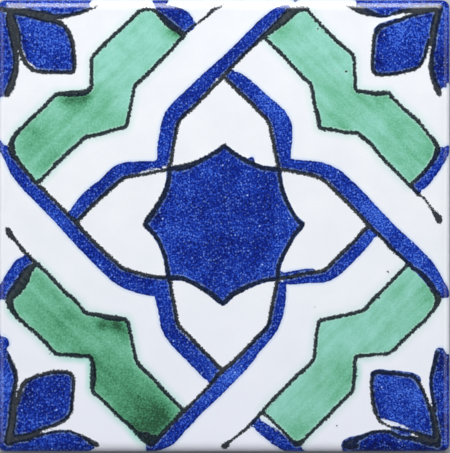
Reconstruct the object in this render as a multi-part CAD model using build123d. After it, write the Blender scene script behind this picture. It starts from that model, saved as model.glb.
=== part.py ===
from build123d import *

import math
import os

# A square wall tile of tin-glazed earthenware: one dust-pressed slab of clay, fired with its glaze.
# It lies flat with its keyed back down. The origin is the middle of the back, and +Z points out of
# the glazed face. Lengths are in millimetres and angles in degrees.

# The slab
side = 100.0  # from edge to edge, where the slab is widest
thickness = 8.0  # from the back to the middle of the face
corner_radius = 1.6  # the upright corners
edge_roll = 1.3  # rounding where the glaze rolls over the top edge
face_crown = 0.12  # fall of the face from its middle to the middle of an edge
side_draft = 1.5  # angle at which the sides lean in towards the back
back_arris = 0.4  # chamfer round the foot of the sides

# The key that grips the adhesive: a grid of shallow pockets with ribs between them
key_border = 7.0  # plain land round the grid
key_count = 6  # pockets in a row, and rows
rib_width = 2.6  # land between two pockets
key_depth = 1.0
key_draft = 30.0  # angle at which a pocket's walls open towards its mouth
key_corner = 1.2  # rounding of a pocket's upright corners

# Worked out from the sizes above. The widest line of the slab is where the rolled edge begins.
draft = math.radians(side_draft)
brow = (face_crown + edge_roll) * math.tan(draft) + edge_roll * (1 / math.cos(draft) - 1)
face_side = side + 2 * brow
back_side = face_side - 2 * thickness * math.tan(draft)
crown_radius = (side**2 / 4 + face_crown**2) / (2 * face_crown)
key_pitch = (back_side - 2 * key_border + rib_width) / key_count
pocket_mouth = key_pitch - rib_width
pocket_floor = pocket_mouth - 2 * key_depth * math.tan(math.radians(key_draft))


def leaning_block(lower_side, upper_side, height, corner):
    """A square block on the ground whose four plane sides lean, with rounded upright corners."""
    low, high = lower_side / 2, upper_side / 2
    profile = make_face(Polyline((-low, 0), (low, 0), (high, height), (-high, height), close=True))
    ridge = extrude(Plane.XZ * profile, max(low, high), both=True)
    block = ridge & Rot(0, 0, 90) * ridge
    upright = [edge for edge in block.edges() if edge.bounding_box().size.Z > height / 2]
    return fillet(upright, corner)


def pressed_slab():
    """The slab as it leaves the press and the kiln: leaning sides, a crowned face and rolled edges."""
    slab = leaning_block(back_side, face_side, thickness, corner_radius)
    slab &= Pos(0, 0, thickness - crown_radius) * Rot(90, 0, 0) * Sphere(crown_radius)
    face = slab.faces().sort_by(Axis.Z)[-1]
    slab = fillet(face.outer_wire().edges(), edge_roll)
    back = slab.faces().sort_by(Axis.Z)[0]
    return chamfer(back.outer_wire().edges(), back_arris)


def key_pockets():
    """The grid of pockets in the back. Each has walls that open towards its mouth."""
    pocket = leaning_block(pocket_mouth, pocket_floor, key_depth, key_corner)
    return GridLocations(key_pitch, key_pitch, key_count, key_count) * pocket


tile = pressed_slab() - key_pockets()

os.makedirs("parts", exist_ok=True)
export_step(tile, "parts/tile.step")
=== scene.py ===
from math import atan2, cos, hypot, pi, radians, sin, tan

import bpy
import numpy as np
from mathutils.geometry import delaunay_2d_cdt
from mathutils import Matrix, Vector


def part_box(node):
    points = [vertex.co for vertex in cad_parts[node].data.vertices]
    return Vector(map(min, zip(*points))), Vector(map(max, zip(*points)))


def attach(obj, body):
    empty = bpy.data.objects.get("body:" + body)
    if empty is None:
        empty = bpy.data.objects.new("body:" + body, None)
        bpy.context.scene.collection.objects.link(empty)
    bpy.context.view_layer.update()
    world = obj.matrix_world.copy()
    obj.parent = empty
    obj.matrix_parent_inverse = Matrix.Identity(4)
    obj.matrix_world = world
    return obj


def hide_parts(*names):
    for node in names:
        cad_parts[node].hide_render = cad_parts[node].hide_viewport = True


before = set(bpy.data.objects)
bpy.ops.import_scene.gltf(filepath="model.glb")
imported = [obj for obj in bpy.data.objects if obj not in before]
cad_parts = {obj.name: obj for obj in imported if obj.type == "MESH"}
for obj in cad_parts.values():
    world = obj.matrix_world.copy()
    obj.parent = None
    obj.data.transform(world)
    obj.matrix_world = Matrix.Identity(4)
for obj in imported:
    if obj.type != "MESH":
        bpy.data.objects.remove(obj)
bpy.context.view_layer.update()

# The slab. One square of pressed earthenware, fired bare and again with its glaze. The face is
# slightly crowned, the glaze rolls over the edges, and the sides lean in towards the keyed back.
mm = 0.001
low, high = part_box("tile")
half_side = (high.x - low.x) / 2 / mm
thickness = (high.z - low.z) / mm
corner_radius = 1.6
edge_roll = 1.3
roll_width = 2.3  # the glaze rolls over more softly than the clay under it
face_crown = 0.12
side_draft = radians(1.5)
back_arris = 0.4

face_half = half_side - roll_width  # the crowned face, inside the rolled edges
face_corner = 0.3  # its corners are nearly square, where two rolls meet
face_cells = 280  # cells across the face, a third of a millimetre each
corner_cells = 6  # cells from a corner that share its rounding
roll_steps = 8
side_steps = 4
pitch = 2 * face_half / face_cells


def crown(x, y):
    """Height of the crowned face over a place on it."""
    return thickness - face_crown * (x**2 + y**2) / half_side**2


def along_edge(step, half, corner):
    """A point of the front edge of a rounded square, counted in cells from one corner to the next.
    The first cells share the corner's arc, the others are even, and the second half mirrors the first."""
    if step > face_cells / 2:
        x, y = along_edge(face_cells - step, half, corner)
        return -x, y
    if step >= corner_cells:
        return -face_half + step * pitch, -half
    straight = (half - corner) - (face_half - corner_cells * pitch)
    walked = step / corner_cells * (corner * pi / 4 + straight)
    turned = pi / 4 + walked / corner
    if turned >= pi / 2:
        return -half + corner + walked - corner * pi / 4, -half
    return -half + corner - corner * cos(turned), -half + corner - corner * sin(turned)


def turn_round(half, corner):
    """Points once round a rounded square, anticlockwise from the corner at the lower left."""
    edge = np.array([along_edge(step, half, corner) for step in range(face_cells)])
    edges = [edge]
    for _ in range(3):
        edge = np.column_stack((-edge[:, 1], edge[:, 0]))
        edges.append(edge)
    return np.concatenate(edges)


# The face is a grid, and rings go on from its border over the roll, down the sides and to the foot.
# laid_flat holds each point's place with the sides folded up level with the face.
steps = np.arange(face_cells + 1)
in_row = len(steps)
row, column = (block.ravel() for block in np.meshgrid(steps, steps, indexing="ij"))
plan = np.column_stack((-face_half + column * pitch, -face_half + row * pitch))
border = np.concatenate((
    steps[:-1],
    steps[:-1] * in_row + face_cells,
    face_cells * in_row + steps[:0:-1],
    steps[:0:-1] * in_row,
))
plan[border] = turn_round(face_half, face_corner)
places = [np.column_stack((plan, crown(plan[:, 0], plan[:, 1])))]
laid_flat = [plan]
rim = places[0][border]
outward = turn_round(half_side, corner_radius) - turn_round(face_half, face_corner)
outward /= np.hypot(outward[:, 0], outward[:, 1])[:, None]

# Each ring is how far it stands out from the face's border, its corners' radius and its heights.
rings = []
for step in range(1, roll_steps + 1):
    angle = step / roll_steps * pi / 2
    corner = face_corner + (corner_radius - face_corner) * sin(angle)
    rings.append((roll_width * sin(angle), corner, rim[:, 2] - edge_roll * (1 - cos(angle))))
for step in range(1, side_steps + 1):
    height = rim[:, 2] - edge_roll + (back_arris - rim[:, 2] + edge_roll) * step / side_steps
    lean = (thickness - edge_roll - height.mean()) * tan(side_draft)
    rings.append((roll_width - lean, corner_radius - lean, height))
rings.append((roll_width - lean - back_arris, corner_radius - lean - back_arris, np.zeros(len(rim))))
for out, corner, height in rings:
    ring = turn_round(face_half + out, corner)
    places.append(np.column_stack((ring, height)))
    hanging = np.maximum(thickness - edge_roll - height, 0)
    laid_flat.append(ring + outward * hanging[:, None])

skin = []
for r in range(face_cells):
    start = r * in_row + steps[:-1]
    skin.append(np.column_stack((start, start + 1, start + in_row + 1, start + in_row)))
inner = border
count = len(plan)
for _ in places[1:]:
    outer = np.arange(count, count + len(border))
    skin.append(np.column_stack((inner, outer, np.roll(outer, -1), np.roll(inner, -1))))
    inner = outer
    count += len(border)
foot = inner
places = np.concatenate(places)
laid_flat = np.concatenate(laid_flat)
skin = np.concatenate(skin)


# The keyed back. Rows of shallow pockets are pressed into it, with ribs between them, so that the
# bedding grips. It is bare biscuit, because the tile stood on it in the kiln.
key_border = 7.0
key_count = 6
rib_width = 2.6
key_depth = 1.0
key_draft = radians(30)
key_corner = 1.2
key_corner_steps = 4
key_pitch = (2 * (half_side - thickness * tan(side_draft)) - 2 * key_border + rib_width) / key_count
pocket_mouth = (key_pitch - rib_width) / 2
pocket_floor = pocket_mouth - key_depth * tan(key_draft)


def pocket_outline(half, corner):
    """Points round one pocket, anticlockwise."""
    points = []
    for quarter, (across, up) in enumerate(((1, 1), (-1, 1), (-1, -1), (1, -1))):
        for step in range(key_corner_steps + 1):
            angle = (quarter + step / key_corner_steps) * pi / 2
            x = across * (half - corner) + corner * cos(angle)
            y = up * (half - corner) + corner * sin(angle)
            points.append((x, y))
    return points


mouth = pocket_outline(pocket_mouth, key_corner)
floor_line = pocket_outline(pocket_floor, key_corner)
centres = (np.arange(key_count) - (key_count - 1) / 2) * key_pitch

# The plain land of the back is a sheet from the foot to the mouths of the pockets. Its faces inside a
# mouth are left out.
land = [tuple(point) for point in places[foot][:, :2]]
loops = [list(range(len(land)))]
for across in centres:
    for up in centres:
        loops.append(list(range(len(land), len(land) + len(mouth))))
        land += [(across + x, up + y) for x, y in mouth]
edges = [pair for loop in loops for pair in zip(loop, loop[1:] + loop[:1])]
sheet_points, _, sheet_faces, *_ = delaunay_2d_cdt(land, edges, [], 0, 1e-7)
sheet_points = np.array([tuple(point) for point in sheet_points])
sheet_faces = np.array(sheet_faces)
middles = sheet_points[sheet_faces].mean(axis=1)
nearest = centres[np.abs(middles[:, :, None] - centres).argmin(axis=2)]
inside = np.abs(middles - nearest).max(axis=1) < pocket_mouth
corner_gap = np.abs(middles - nearest) - (pocket_mouth - key_corner)
inside &= ~((corner_gap > 0).all(axis=1) & (np.hypot(*corner_gap.T) > key_corner))
sheet_faces = sheet_faces[~inside][:, ::-1]


def new_mesh(name, points, faces):
    """A plain mesh object from points in millimetres."""
    mesh = bpy.data.meshes.new(name)
    mesh.from_pydata((np.asarray(points) * mm).tolist(), [], [list(face) for face in faces])
    thing = bpy.data.objects.new(name, mesh)
    bpy.context.scene.collection.objects.link(thing)
    return thing


slab = new_mesh("slab", places, skin)
level_points = np.column_stack((sheet_points, np.zeros(len(sheet_points))))
key_land = new_mesh("key_land", level_points, sheet_faces)
round_mouth = len(mouth)
pocket_points = [(x, y, 0) for x, y in mouth] + [(x, y, key_depth) for x, y in floor_line]
pocket_faces = [tuple(range(round_mouth, 2 * round_mouth))[::-1]]
for k in range(round_mouth):
    after = (k + 1) % round_mouth
    pocket_faces.append((round_mouth + k, round_mouth + after, after, k))
pocket = new_mesh("pocket", pocket_points, pocket_faces)


def keep(thing, name, kind, values):
    """Stores one value for each point of a mesh."""
    values = np.asarray(values, dtype=np.float32)
    thing.data.attributes.new(name, kind, "POINT").data.foreach_set(
        "value" if kind == "FLOAT" else "vector", values.ravel())


keep(slab, "laid_flat", "FLOAT_VECTOR", np.column_stack((laid_flat, np.zeros(len(laid_flat)))))

# The ink lines. Each was drawn freehand with a fine brush in manganese on the raw glaze, at
# (x, y, half width) in millimetres, from the point where the brush came down to where it left.
ink_lines = [
    # the star, arc by arc, anticlockwise from its top point
    [(0.1, 17.8, .45), (-1.1, 16.7, .5), (-2.5, 15.9, .45), (-4.1, 15, .48), (-5.9, 14.1, .55),
     (-7.8, 13.3, .68), (-9.8, 12.8, .72), (-11.3, 12.7, .62), (-12.2, 12.6, .58)],
    [(-12, 11.6, .45), (-12.3, 9.8, .48), (-12.8, 8, .52), (-13.6, 6.3, .58), (-14.6, 4.6, .6),
     (-15.6, 3.1, .6), (-16.6, 1.7, .62), (-17.3, 0.5, .62)],
    [(-17.4, 0.1, .55), (-16.5, -0.7, .48), (-15.3, -2.1, .42), (-14.4, -3.5, .42), (-13.6, -5.2, .42),
     (-13, -7, .42), (-12.6, -9, .45), (-12.3, -11, .5)],
    [(-12, -11.6, .55), (-10.3, -11.5, .55), (-8.8, -11.8, .5), (-7.2, -12.5, .45), (-5.7, -13.3, .48),
     (-4.1, -14.3, .48), (-2.6, -15.3, .56), (-1.3, -16.3, .56), (-0.2, -17.2, .46)],
    [(-0.1, -17.2, .45), (1, -16, .55), (2.1, -15.1, .58), (3.6, -14.3, .56), (5.6, -13.3, .5),
     (7.5, -12.6, .42), (9.5, -12, .4), (11.6, -11.7, .45)],
    [(12, -11.2, .48), (12, -9.6, .45), (12.4, -8.1, .42), (13.1, -6.5, .42), (14, -4.9, .42),
     (14.9, -3.2, .42), (15.6, -1.9, .45), (16.6, -0.8, .48), (17.4, 0.2, .45)],
    [(17.4, 0.4, .48), (16.5, 1, .42), (15.6, 2.2, .4), (14.7, 3.8, .42), (13.9, 5.4, .42), (13.2, 7, .42),
     (12.7, 8.8, .4), (12.4, 10.3, .38), (12.2, 12, .42)],
    [(11.9, 12.5, .52), (10.2, 12.6, .5), (8.4, 12.9, .5), (6.8, 13.5, .48), (5.3, 14.2, .48),
     (3.7, 15.1, .45), (2.1, 16.1, .42), (1, 17, .42), (0.1, 17.8, .42)],
    # drops that fell from the brush
    [(24.8, 34.3, .1), (24.9, 34.2, .1)],
    [(27.1, 34.1, .2), (27.2, 34, .2)],
    [(20.8, 43.5, .16), (20.9, 43.4, .12)],
    [(36.3, -10.1, .12), (36.4, -10.6, .06)],
    [(20, -18, .05), (20.1, -18.1, .05)],
    [(25, -44.3, .1), (25.1, -44.4, .1)],
    [(-26.3, 39.6, .22), (-26.2, 39.8, .2)],
    [(-38.6, -28.4, .08), (-38.7, -28.6, .05)],
    # straps round the top point, then the long one up to the top right cap
    [(-12.1, 13, .42), (-11.7, 14.3, .4), (-11.4, 16.3, .38), (-11.1, 18.1, .36), (-10.8, 19.7, .38),
     (-10.5, 21.2, .42), (-10.2, 22.5, .4), (-9.6, 23.6, .4), (-8.5, 24.8, .42), (-7, 26, .4),
     (-5.4, 27.6, .38), (-3.9, 29.1, .4), (-2.5, 30.7, .38), (-1.1, 32, .4), (-0.1, 33.1, .45),
     (0.7, 34, .42), (2.1, 35.5, .4), (3.5, 36.9, .4), (4.8, 38.3, .38), (5.9, 39.3, .34), (7, 40.3, .4),
     (8.2, 41.5, .5), (9.2, 42.3, .55), (10.2, 43.2, .6), (11.4, 44.2, .78), (12.6, 45.1, 1.0),
     (13.8, 46.3, 1.12), (14.8, 47.3, 1.05), (16.2, 47.9, .62), (17.5, 48.2, .45), (18.5, 48.1, .4)],
    [(12.1, 13.1, .42), (11.7, 14.8, .42), (11.3, 16.8, .4), (10.9, 18.8, .38), (10.5, 20.4, .42),
     (10.3, 21.7, .4), (9.8, 23, .42), (8.8, 24.3, .42), (7.6, 25.4, .4), (6.4, 26.8, .42), (4.9, 28.2, .42),
     (3.4, 29.6, .42), (2, 31, .42), (0.8, 32.2, .42), (0, 32.9, .4)],
    # straps round the left point
    [(-12.4, 12.4, .4), (-13.8, 12.2, .35), (-15.8, 11.8, .36), (-17.8, 11.4, .36), (-19.7, 11.1, .38),
     (-21.7, 10.7, .42), (-22.9, 10, .4), (-24.2, 8.9, .42), (-25.4, 7.9, .45), (-26.7, 6.7, .42),
     (-28.2, 5.3, .42), (-29.7, 3.9, .42), (-31, 2.5, .42), (-32.1, 1.3, .45), (-32.8, 0.7, .5)],
    [(-40.9, 8.7, .42), (-40, 8.1, .4), (-38.9, 6.8, .36), (-37.6, 5.6, .36), (-36.4, 4.4, .38),
     (-34.8, 2.8, .38), (-33.8, 1.8, .42), (-32.6, 0.7, .5), (-31.5, -0.8, .42), (-30.2, -2.1, .42),
     (-28.7, -3.7, .42), (-27.2, -5.1, .42), (-25.7, -6.5, .44), (-24.6, -7.5, .42), (-23.3, -8.7, .42),
     (-22.1, -9.5, .42), (-20.2, -10.1, .38), (-18.3, -10.7, .4), (-16.3, -11.1, .42), (-14.3, -11.4, .42),
     (-12.4, -11.5, .45)],
    # straps round the bottom point
    [(-12, -12.2, .45), (-11.7, -14, .4), (-11.3, -16.2, .4), (-10.8, -18.5, .42), (-10.5, -20.5, .42),
     (-10, -22.1, .42), (-8.8, -23.4, .42), (-7.2, -24.9, .42), (-5.9, -26.4, .42), (-4.4, -27.9, .42),
     (-2.9, -29.4, .42), (-1.5, -30.9, .45), (-0.5, -31.9, .5)],
    [(-8.9, -41, .45), (-7.4, -39.7, .36), (-6.2, -38.5, .34), (-4.8, -37.1, .34), (-3.5, -35.7, .36),
     (-2.3, -34.3, .42), (-1.1, -32.8, .5), (-0.2, -32.1, .5), (0.9, -31.1, .45), (2.3, -29.9, .45),
     (3.7, -28.5, .42), (5.1, -27.1, .42), (6.4, -25.8, .45), (7.4, -24.7, .5), (8.7, -23.5, .42),
     (9.6, -22.4, .42), (10.1, -21.2, .42), (10.3, -19.7, .42), (10.7, -17.8, .42), (11.1, -15.8, .42),
     (11.5, -13.8, .42), (11.8, -12, .45)],
    # straps round the right point
    [(12.3, 12.4, .45), (13.5, 12.4, .42), (15, 12.1, .4), (17, 11.7, .4), (19, 11.3, .4), (20.9, 10.7, .42),
     (22.4, 9.9, .42), (23.7, 8.7, .42), (24.8, 7.6, .42), (25.9, 6.6, .42), (27.2, 5.3, .42),
     (28.4, 4, .42), (29.9, 2.5, .42), (31.2, 1.1, .45), (32.2, 0, .5), (33.3, -1.1, .4), (34.6, -2.3, .42),
     (35.8, -3.5, .42), (37, -4.9, .42), (38.4, -6.1, .4), (39.8, -7.3, .38), (40.8, -8.3, .42)],
    [(12, -11.7, .45), (12.8, -11.6, .42), (14.5, -11.4, .42), (16, -11.1, .42), (18, -10.6, .42),
     (19.9, -10.3, .42), (21.9, -10, .42), (23.1, -9.2, .4), (24.4, -7.8, .4), (25.8, -6.4, .4),
     (27.2, -5, .4), (28.8, -3.5, .4), (30.3, -1.8, .4), (31.5, -0.5, .42), (32.2, 0.1, .45)],
    # tails that run out at the middle of each side
    [(-8.8, 42.4, .45), (-8, 43.2, .32), (-6.8, 44.2, .24), (-5.7, 44.9, .2), (-4.5, 45.9, .22),
     (-3.4, 46.8, .3), (-2.7, 47.5, .42), (-1.9, 48.2, .35), (-0.9, 48.5, .28), (-0.1, 48.9, .16)],
    [(41.2, 8.8, .42), (42.2, 8, .36), (43, 7, .42), (43.8, 6.4, .26), (44.7, 5.7, .26), (45.6, 4.3, .28),
     (46.4, 3.2, .36), (47.1, 2.3, .55), (47.6, 1.5, .74), (47.7, 1.2, .74)],
    [(8.6, -41.1, .42), (7.4, -42.4, .4), (6.3, -43.6, .33), (5.1, -44.8, .31), (3.7, -45.9, .29),
     (2.3, -47, .27), (1.3, -47.8, .32), (0.7, -48.4, .6), (0.2, -48.8, .7)],
    [(-48, -0.7, .45), (-47.6, -1.5, .72), (-47.1, -2.3, .6), (-46.3, -3.2, .42), (-45.3, -4.4, .42),
     (-44.4, -5.5, .42), (-43.4, -6.5, .42), (-42.4, -7.6, .42), (-41.6, -8.4, .5)],
    # heavy caps at the panels' ends
    [(-14.8, 47.2, .4), (-13.6, 46.1, .68), (-12.1, 44.7, .8), (-10.8, 43.7, .72), (-9.6, 42.9, .58),
     (-8.8, 42.2, .45)],
    [(-47.2, -15.5, 1.0), (-45.9, -14, 1.32), (-44.6, -12.2, 1.32), (-43.8, -10.6, 1.1), (-42.9, -9.4, .8),
     (-42, -8.7, .5)],
    [(-18.6, -46, .5), (-17.2, -46.6, .85), (-16.1, -47.2, .95), (-15.1, -47.3, .8), (-16.2, -48.1, .6)],
    [(33.9, -15.5, .35), (34.3, -16.1, .3)],
    # top left corner
    [(-49.8, 48.1, .4), (-48, 47.8, .6), (-46, 47.5, .75), (-44.1, 47.3, .88), (-42.1, 46.9, .95),
     (-40.1, 46.6, .98), (-38.3, 46.3, .8), (-36.6, 46.3, .58), (-34.6, 46.6, .42), (-32.6, 47, .42),
     (-30.7, 47.6, .38), (-29, 48.3, .28), (-27.9, 48.8, .15)],
    [(-46.7, 47.4, .6), (-44.6, 47, .6), (-42.1, 46.5, .7), (-39.6, 45.8, .7), (-37.6, 45.4, .6),
     (-36.1, 44.8, .52), (-34.9, 43.6, .48), (-34, 41.9, .48), (-33.5, 40.1, .45), (-33.3, 38.1, .48),
     (-33.1, 36.1, .48), (-33.2, 34.6, .45)],
    [(-33.2, 34.3, .42), (-34, 33.9, .44), (-35.1, 34, .4), (-37.6, 34, .42), (-40.1, 34.1, .46),
     (-41.9, 34.4, .48), (-43.1, 35.2, .5), (-44.2, 36.6, .52), (-45, 38.5, .55), (-45.5, 40.1, .6),
     (-45.7, 41.6, .72), (-46.1, 43.6, .75), (-46.8, 45.5, .8), (-47.3, 47.1, .8)],
    [(-47.8, 46, .6), (-47.2, 43.1, .6), (-46.7, 40.6, .6), (-46.3, 38.6, .6), (-46, 36.6, .62),
     (-46.2, 34.6, .72), (-46.7, 32.6, .8), (-47.3, 30.7, .84), (-48.1, 29.1, .66)],
    # top right corner
    [(27.1, 48.8, .15), (28.5, 48.3, .4), (30.1, 47.8, .74), (31.9, 47.3, .78), (33.3, 46.9, .56),
     (34.8, 46.4, .3), (36.3, 46.5, .24), (37.8, 47, .3), (39.3, 47.5, .5), (41.3, 47.7, .66),
     (43.3, 47.6, .85), (45.2, 47.9, .75), (47, 48.1, .7), (48, 48, .6)],
    [(42.8, 47.1, .5), (41.6, 46.6, .4), (40.3, 46.1, .4), (38.8, 45.5, .4), (37.1, 44.9, .38),
     (35.6, 44.4, .44), (34.6, 44, .52), (33.7, 42.9, .45), (33.3, 41.6, .42), (33.1, 39.6, .4),
     (33, 37.6, .38), (32.9, 35.6, .38), (33.1, 34.3, .42)],
    [(33.3, 34, .42), (34.1, 33.5, .42), (35.6, 33.5, .38), (37.3, 33.6, .38), (39.1, 33.9, .38),
     (40.8, 34.3, .36), (42.3, 34.8, .36), (43.3, 35.4, .36), (44.1, 36.6, .36), (44.7, 38.2, .36),
     (45, 39.6, .38), (45.6, 41, .5)],
    [(47.8, 48.1, .7), (47.4, 46.8, .8), (46.9, 45.3, .85), (46.6, 43.8, .85), (46.4, 42.3, .82),
     (46.3, 40.9, .75), (46.4, 39.8, .52), (46.1, 38.1, .46), (46, 36.6, .55), (45.9, 35.1, .6),
     (46.2, 33.6, .62), (46.6, 32.2, .65), (47.1, 30.9, .7), (47.6, 29.6, .66), (47.8, 29, .45)],
    # bottom left corner
    [(-47.9, -28.6, .3), (-47.3, -29.9, .45), (-46.6, -31.5, .52), (-46.2, -32.8, .5), (-46.1, -34.4, .45),
     (-46.3, -35.8, .48), (-46.5, -37.3, .55), (-46.6, -38.8, .68), (-46.8, -40.4, .85), (-46.8, -42.1, .92),
     (-47, -43.8, .88), (-47.3, -45.5, .98), (-47.6, -47, 1.0), (-47.6, -47.8, 1.0)],
    [(-45.8, -39.3, .6), (-45.4, -37.4, .5), (-44.9, -36, .5), (-44.1, -34.7, .5), (-42.9, -33.9, .42),
     (-41.4, -33.3, .42), (-39.6, -32.8, .42), (-37.6, -32.4, .45), (-35.8, -32.4, .45), (-34.3, -32.6, .42),
     (-33.5, -33.4, .4), (-33.3, -34.8, .38), (-33.4, -36.8, .36), (-33.6, -38.8, .36), (-33.8, -40.8, .38),
     (-34.4, -42.1, .38), (-35.4, -43.1, .38), (-36.8, -43.8, .4), (-38.4, -44.5, .38), (-40.1, -45, .4),
     (-41.6, -45.9, .62), (-43.4, -46.8, .84), (-45, -47, .85), (-46.5, -47.3, .9)],
    [(-41.6, -46.4, .6), (-40.4, -46.3, .36), (-39.1, -46, .24), (-37.6, -45.6, .26), (-35.6, -45.5, .25),
     (-34.1, -45.6, .25), (-32.6, -46.1, .28), (-31.2, -46.7, .32), (-29.7, -47.7, .55), (-28.6, -48.3, .55),
     (-28.1, -48.6, .36)],
    # bottom right corner
    [(32.9, -33.8, .4), (33.1, -32.8, .5), (34.1, -32.4, .48), (35.8, -32.5, .45), (37.8, -32.7, .42),
     (39.8, -33, .38), (41.4, -33.2, .42), (42.5, -33.8, .45), (43.3, -35, .45), (44, -36.3, .4),
     (44.6, -37.8, .36), (45.2, -39.4, .4), (45.8, -40.8, .55), (46.4, -42.3, .62), (46.7, -44, .72),
     (47, -45.7, .82), (47.2, -47.3, .9), (47.2, -48.5, .8)],
    [(32.7, -34.3, .38), (32.8, -36.3, .4), (32.9, -38.3, .4), (33.2, -40, .4), (33.7, -41.6, .38),
     (34.4, -43, .34), (35.2, -43.7, .26), (36.8, -44.5, .24), (38.6, -44.9, .25), (40.2, -45.4, .25),
     (41.8, -45.7, .28), (42.8, -46, .45), (44, -46.6, .7), (45.2, -47.1, .8), (46.5, -47.6, .8)],
    [(47.3, -27.9, .35), (47, -29.4, .42), (46.6, -30.9, .42), (46.2, -32.3, .4), (45.9, -33.8, .36),
     (45.9, -35.3, .32), (46.1, -36.8, .32), (46.3, -38.3, .34), (46.5, -39.5, .38), (46.6, -40.8, .55)],
    [(27.1, -48.5, .85), (28.3, -48, .85), (29.5, -47.3, .62), (30.9, -46.6, .42), (32.3, -46, .35),
     (33.8, -45.6, .3), (35.3, -45.5, .28), (36.8, -45.7, .38), (38.3, -46.5, .45), (39.8, -47, .48),
     (41.3, -47, .5), (42.8, -47.3, .6), (44.3, -47.7, .7), (45.7, -48.1, .8)],
    [(28.1, -48.8, .8), (29.3, -48.7, .6)],
]

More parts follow.
